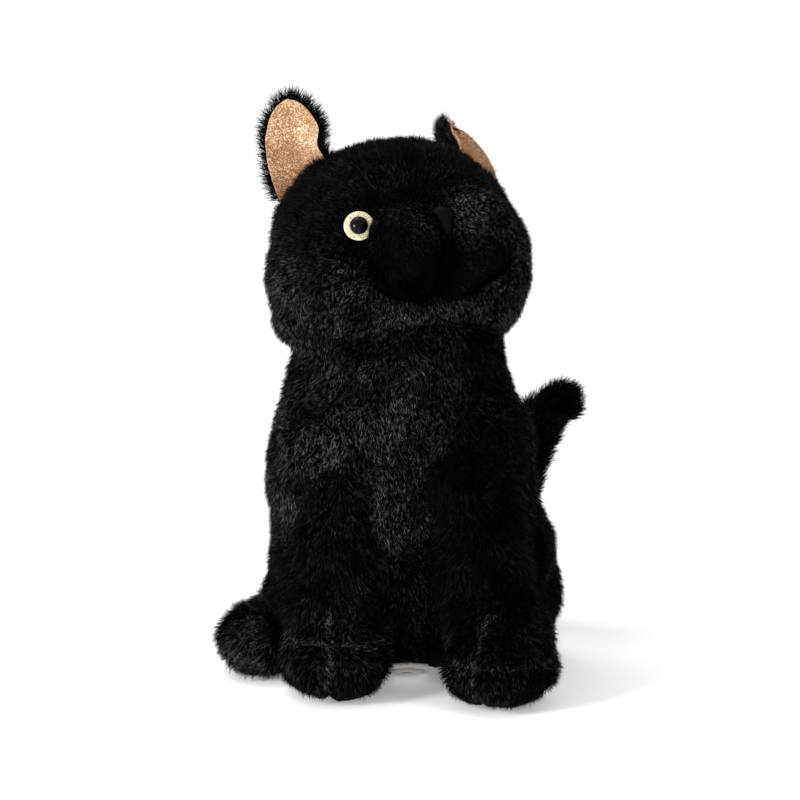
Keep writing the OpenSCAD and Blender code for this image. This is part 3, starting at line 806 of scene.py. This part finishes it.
def ear_leaf(name, side, inset, back, thick):
    """A cupped leaf in the ear's own frame. back moves it behind the lining's face."""
    points = []
    low, high = EAR_HEIGHTS[0], EAR_HEIGHTS[-1] - inset * 0.6
    for r in range(EAR_ROWS + 1):
        rise = low + (high - low) * math.sin(math.pi / 2 * r / EAR_ROWS)
        half = max(np.interp(rise + inset * 0.6, EAR_HEIGHTS, EAR_HALF_WIDTHS) - inset, 0.2)
        for c in range(EAR_COLUMNS + 1):
            u = 2 * c / EAR_COLUMNS - 1
            inner = max(-SIGN[side] * u, 0)
            fold = EAR_FOLD[side] * inner ** 2 * math.exp(-((rise - 11) / 6) ** 2)
            cup = EAR_CUP[side] * (0.5 - u * u) * (half / 14)
            roll = 0.18 * EAR_CUP[side] * inner ** 4
            points.append(Vector((u * half + SIGN[side] * fold + 1.0 * max(rise, 0) / 36,
                                  back + cup - fold - roll, rise)) * MM)
    wide = EAR_COLUMNS + 1
    faces = [(r * wide + c, r * wide + c + 1, (r + 1) * wide + c + 1, (r + 1) * wide + c)
             for r in range(EAR_ROWS) for c in range(EAR_COLUMNS)]
    mesh = bpy.data.meshes.new(name)
    mesh.from_pydata(points, [], faces)
    mesh.transform(ear_frame(side))
    piece = linked(name, mesh)
    wall = piece.modifiers.new("wall", "SOLIDIFY")
    wall.thickness = thick * MM
    wall.offset = 0
    finer = piece.modifiers.new("finer", "SUBSURF")
    finer.levels = finer.render_levels = 1
    settle(piece)
    piece.data.shade_smooth()
    return piece


# Glitter fabric: fine gold flakes glued on a tan knit; a few flakes are painted bright as painted glints,
# and the lining is painted lighter towards its top as a painted highlight.
glitter_cloth, tree, out = new_material("gold_glitter_fabric")
place = add(tree, "ShaderNodeTexCoord").outputs["Object"]
flakes = add(tree, "ShaderNodeTexVoronoi", {"Vector": place, "Scale": 1 / (0.4 * MM)})
split = add(tree, "ShaderNodeSeparateColor", {0: flakes.outputs["Color"]})
patches = add(tree, "ShaderNodeTexNoise", {"Vector": place, "Scale": 1 / (17 * MM), "Detail": 1.0}).outputs[0]
ground = add(tree, "ShaderNodeMapRange", {"Value": patches, "From Min": 0.35, "From Max": 0.65,
                                          "To Min": 0.34, "To Max": 0.5}).outputs[0]
# Painted highlight: the lining is painted lighter towards its top.
height = add(tree, "ShaderNodeSeparateXYZ", {0: place}).outputs["Z"]
painted_highlight_up = add(tree, "ShaderNodeMapRange", {
    "Value": height, "From Min": 0.215, "From Max": 0.268, "To Min": -0.1, "To Max": 0.12}).outputs[0]
# Painted glints: each flake's random brightness, the brightest painted near white.
flake = add(tree, "ShaderNodeMath", {0: split.outputs[0], 1: 0.55}, operation="MULTIPLY").outputs[0]
paler = add(tree, "ShaderNodeMath", {0: ground, 1: painted_highlight_up}).outputs[0]
mixed_tone = add(tree, "ShaderNodeMath", {0: flake, 1: paler})
tones = add(tree, "ShaderNodeValToRGB", {0: mixed_tone.outputs[0]})
tones.color_ramp.elements[0].position = 0.35
tones.color_ramp.elements[0].color = linear("#6E4226")
tones.color_ramp.elements[1].position = 1.0
tones.color_ramp.elements[1].color = linear("#EAD5B8")
tones.color_ramp.elements.new(0.62).color = linear("#8E5F36")
tones.color_ramp.elements.new(0.82).color = linear("#AB8053")
raised = add(tree, "ShaderNodeBump", {"Height": split.outputs[1], "Distance": 0.15 * MM, "Strength": 0.9})
shader = add(tree, "ShaderNodeBsdfPrincipled", {
    "Base Color": tones.outputs[0], "Metallic": 0.1, "Roughness": 0.6, "Normal": raised.outputs[0]})
tree.links.new(shader.outputs[0], out.inputs["Surface"])

for side in ("right", "left"):
    ear = ear_leaf("ear_fur_back_" + side, side, 0.4, 1.9, 2.6)
    ear.data.materials.append(backing)
    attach(ear, "ear_" + side)
    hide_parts("ear_back_" + side)
    ear_points = points_of(ear.data)
    own = np.array(ear_frame(side).inverted())
    placed = (ear_points @ own[:3, :3].T + own[:3, 3]) / MM
    facing_front = normals_of(ear.data) @ own[:3, :3].T[:, 1] < -0.25
    up_ear = np.array(ear_frame(side).to_3x3() @ Vector((0, 0, 1)))
    out_ear = np.array(ear_frame(side).to_3x3() @ Vector((1, 0, 0)))
    lay(ear, lambda p: up_ear[None, :] + out_ear[None, :] * (placed[:, :1] / 10),
        cover=np.where(facing_front, 0.0, 1.0) * (placed[:, 2] > -8))
    piece = grow("ear_fur_" + side, ear, "ear_" + side, fur, lambda p: np.ones(len(p)), Seed=41 + SIGN[side],
                 **dict(LONG_PILE, Density=5e6, Length=7 * MM, Lean=math.radians(38), Stray=0.4))
    lining = ear_leaf("ear_lining_cloth_" + side, side, 0.8, 0, 0.5)
    lining.data.materials.append(glitter_cloth)
    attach(lining, "ear_" + side)
    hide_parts("ear_lining_" + side)

# ---- Front legs ----
# Stuffed sleeves that come out of the chest and end in round paws, with a cross of seams on each paw.
# The pile is brushed down and shortens over the sole.
for side in ("right", "left"):
    shoulder = Vector(joint["leg_swing_" + side]["pos_m"]) / MM
    paw_low, paw_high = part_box("paw_cover_" + side)
    paw = (Vector(paw_low) + Vector(paw_high)) / 2 / MM
    toes = 0 if side == "right" else -24
    leg = stuff("leg_plush_" + side, [
        lump(shoulder + Vector((0, -2, -2)), (20, 18, 24)),
        lump(shoulder.lerp(paw, 0.45), (20, 19, 36)),
        lump(shoulder.lerp(paw, 0.8), (20.5, 20, 30)),
        lump((paw.x + (0.5 if side == "left" else 0), paw.y - 6.5, 17), (23, 26, 17.5), (0, 0, toes)),
        lump((paw.x + 1.5, paw.y - 1, 26), (21, 22, 18), (0, 0, toes)),
    ], soften=6)
    across = Matrix.Rotation(math.radians(toes), 3, "Z") @ Vector((1, 0, 0))
    leg_seams = [
        ((paw.x, paw.y - 6, 27 if side == "right" else 21), (0, 0.1, 1), (0, -1, 0)),
        ((paw.x - 2.5, paw.y - 6, 0), across, (0, -1, 0)),
    ]
    swell(leg, leg_seams, 1.8, 1.5)
    leg.data.materials.append(backing)
    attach(leg, "front_leg_" + side)
    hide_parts("leg_sleeve_" + side, "paw_cover_" + side, "paw_sole_" + side, "leg_stuffing_" + side)
    leg_points = points_of(leg.data)
    in_body = inside(leg_points, body_low, body_high, 9) & (leg_points[:, 2] > 60 * MM)
    toe_ward = np.array([0.0, -1.0, -0.6])
    low_share = np.clip(1 - leg_points[:, 2] / (34 * MM), 0, 1)[:, None]
    flow_at = np.array([[0.0, 0.0, -1.0]]) * (1 - low_share) + toe_ward * low_share
    # The painted sheen here is a painted highlight growing towards the foot of the leg, a little stronger on the
    # right leg, and a bright painted highlight along the paw seams.
    lay(leg, lambda p: flow_at,
        pile=seam_pile(leg_points, leg_seams, 0.45) * np.clip(leg_points[:, 2] / (9 * MM), 0.14, 1),
        cover=np.where(in_body, 0.0, 1.0),
        gloss=0.07 + 0.11 * fade(leg_points[:, 2] / MM, 60, 24) + (0.1 if side == "right" else 0.0)
        + 2.4 * np.maximum(*[np.exp(-(from_seam(leg_points, seam) / (1.7 * MM)) ** 2) for seam in leg_seams])
        * (leg_points[:, 2] < 44 * MM))
    piece = grow("leg_fur_" + side, leg, "front_leg_" + side, fur, lambda p: np.ones(len(p)),
                 Seed=51 + SIGN[side], **dict(LONG_PILE, Length=6.8 * MM))

# ---- Hind feet ----
# Two small stuffed ovals at the sides of the seat, in a shaggier fur that stands off in tufts.
for side in ("right", "left"):
    foot_low, foot_high = node_box("foot_cover_" + side)
    middle = (Vector(foot_low) + Vector(foot_high)) / 2 / MM
    turn = -12 if side == "right" else 10
    foot = stuff("foot_plush_" + side, [
        lump((middle.x, middle.y + 1, 15), (16.5, 23, 15), (0, 0, turn)),
        lump((middle.x - SIGN[side] * 3, middle.y + 12, 15.5), (16, 18, 15.5), (0, 0, turn)),
    ], grain=3, soften=5)
    swell(foot, [], 1.2, 0)
    foot.data.materials.append(backing)
    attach(foot, "hind_foot_" + side)
    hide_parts("foot_cover_" + side, "foot_sole_" + side, "foot_stuffing_" + side)
    foot_points = points_of(foot.data)
    outward = np.array([SIGN[side] * 0.7, -0.8, -0.35])
    lay(foot, lambda p: outward + (p - np.array(middle) * MM) * 25,
        pile=np.clip(foot_points[:, 2] / (7 * MM), 0.14, 1))
    piece = grow("foot_fur_" + side, foot, "hind_foot_" + side, fur, lambda p: np.ones(len(p)),
                 Seed=61 + SIGN[side],
                 **dict(LONG_PILE, Length=9 * MM, Lean=math.radians(48), Stray=0.34))

# ---- Tail ----
# A long stuffed tube from the back seam, bent up behind the left side, in the shaggier fur.
tail_route = [
    (6, 61, 26), (10, 74, 27), (22, 83, 32), (38, 86, 40), (52, 84, 52),
    (58, 80, 70), (60, 77, 87), (66.5, 75, 100), (77, 74, 109),
]
tail_size = [8, 8, 8, 8, 8, 8.5, 9, 9, 8]
tail_lumps = []
for a, b, r_a, r_b in zip(tail_route, tail_route[1:], tail_size, tail_size[1:]):
    for k in range(4):
        at = Vector(a).lerp(Vector(b), k / 4)
        r = r_a + (r_b - r_a) * k / 4
        tail_lumps.append(lump(at, (r, r, r)))
tail_lumps.append(lump(tail_route[-1], (tail_size[-1],) * 3))
tail = stuff("tail_plush", tail_lumps, grain=2.6, soften=8)
swell(tail, [], 1.0, 0)
tail.data.materials.append(backing)
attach(tail, "tail")
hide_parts("tail_cover", "tail_stuffing")
route = np.array(tail_route, float) * MM


def towards_tip(points):
    """The tail's direction at the nearest stretch of its route."""
    stretches = route[1:] - route[:-1]
    centres = (route[1:] + route[:-1]) / 2
    nearest = np.argmin(np.linalg.norm(points[:, None, :] - centres[None], axis=2), axis=1)
    return stretches[nearest] / np.linalg.norm(stretches[nearest], axis=1, keepdims=True)


# The tail's fibre tips get a low, even painted sheen.
lay(tail, towards_tip, gloss=np.full(len(tail.data.vertices), 0.12))
piece = grow("tail_fur", tail, "tail", fur, lambda p: np.ones(len(p)), Seed=71,
             **dict(LONG_PILE, Length=9.5 * MM, Lean=math.radians(50), Stray=0.34))

# ---- Label and pellet bag ----
# Two small satin leaves, folded and caught in the seam in front of the seat, and the cloth bag
# of pellets that weighs the seat down inside.
label_satin, tree, out = new_material("white_label_satin")
place = add(tree, "ShaderNodeTexCoord").outputs["Object"]
ribs = add(tree, "ShaderNodeTexWave", {"Vector": place, "Scale": 1 / (0.9 * MM), "Distortion": 0.4},
           bands_direction="X")
label_dye = add(tree, "ShaderNodeMix", {
    "Factor": ribs.outputs["Fac"], "A": linear("#C9C2BC"), "B": linear("#E4E0DB")}, data_type="RGBA")
raised = add(tree, "ShaderNodeBump", {"Height": ribs.outputs["Fac"], "Distance": 0.05 * MM, "Strength": 0.5})
shader = add(tree, "ShaderNodeBsdfPrincipled", {
    "Base Color": label_dye.outputs["Result"], "Roughness": 0.42, "Sheen Weight": 0.2,
    "Normal": raised.outputs[0]})
tree.links.new(shader.outputs[0], out.inputs["Surface"])

label_low, label_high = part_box("care_label")
FOLD_R = 0.9


def folded_label(name, node, wide, reach, lift):
    """A ribbon that runs out from the seam, folds over and comes back on itself."""
    middle_x = (label_low[0] + label_high[0]) / 2 / MM
    back_y = label_high[1] / MM
    path = []
    for k in range(9):
        share = k / 8
        path.append((back_y - reach * share, 1.2 + lift * share ** 1.4))
    turn_y, turn_z = path[-1]
    for a in range(20, 180, 20):
        path.append((turn_y - FOLD_R * math.sin(math.radians(a)),
                     turn_z + FOLD_R * (1 - math.cos(math.radians(a)))))
    for k in range(9):
        share = 1 - k / 8
        path.append((back_y - reach * share, 1.2 + lift * share ** 1.4 + 2 * FOLD_R * (0.35 + 0.65 * share)))
    columns = 14
    points, faces = [], []
    for y, z in path:
        for c in range(columns + 1):
            u = c / columns - 0.5
            points.append(Vector((middle_x + wide * u, y, z + 0.9 * math.cos(u * 3.1) - 0.3)) * MM)
    for r in range(len(path) - 1):
        for c in range(columns):
            a = r * (columns + 1) + c
            faces.append((a, a + 1, a + columns + 2, a + columns + 1))
    mesh = bpy.data.meshes.new(name)
    mesh.from_pydata(points, [], faces)
    piece = linked(name, mesh)
    wall = piece.modifiers.new("wall", "SOLIDIFY")
    wall.thickness = 0.2 * MM
    wall.offset = 0
    finer = piece.modifiers.new("finer", "SUBSURF")
    finer.levels = finer.render_levels = 1
    settle(piece)
    piece.data.shade_smooth()
    piece.data.materials.append(label_satin)
    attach(piece, "torso")
    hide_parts(node)


folded_label("label_outer", "care_label", 19, 21, 7.5)
folded_label("label_inner", "care_label_inner", 15, 16, 3.4)

bag_cloth, tree, out = new_material("plain_weave_cotton")
place = add(tree, "ShaderNodeTexCoord").outputs["Object"]
weave = add(tree, "ShaderNodeTexChecker", {"Vector": place, "Scale": 1 / (0.8 * MM)})
cotton = add(tree, "ShaderNodeMix", {
    "Factor": weave.outputs["Fac"], "A": linear("#CDBF9F"), "B": linear("#DDD1B4")}, data_type="RGBA")
shader = add(tree, "ShaderNodeBsdfPrincipled", {
    "Base Color": cotton.outputs["Result"], "Roughness": 0.85,
    "Normal": add(tree, "ShaderNodeBump", {"Height": weave.outputs["Fac"], "Distance": 0.1 * MM}).outputs[0]})
tree.links.new(shader.outputs[0], out.inputs["Surface"])
bag = frame["nodes"]["pellet_bag"]
bag.data.materials.clear()
bag.data.materials.append(bag_cloth)

bpy.data.objects.remove(fibre)
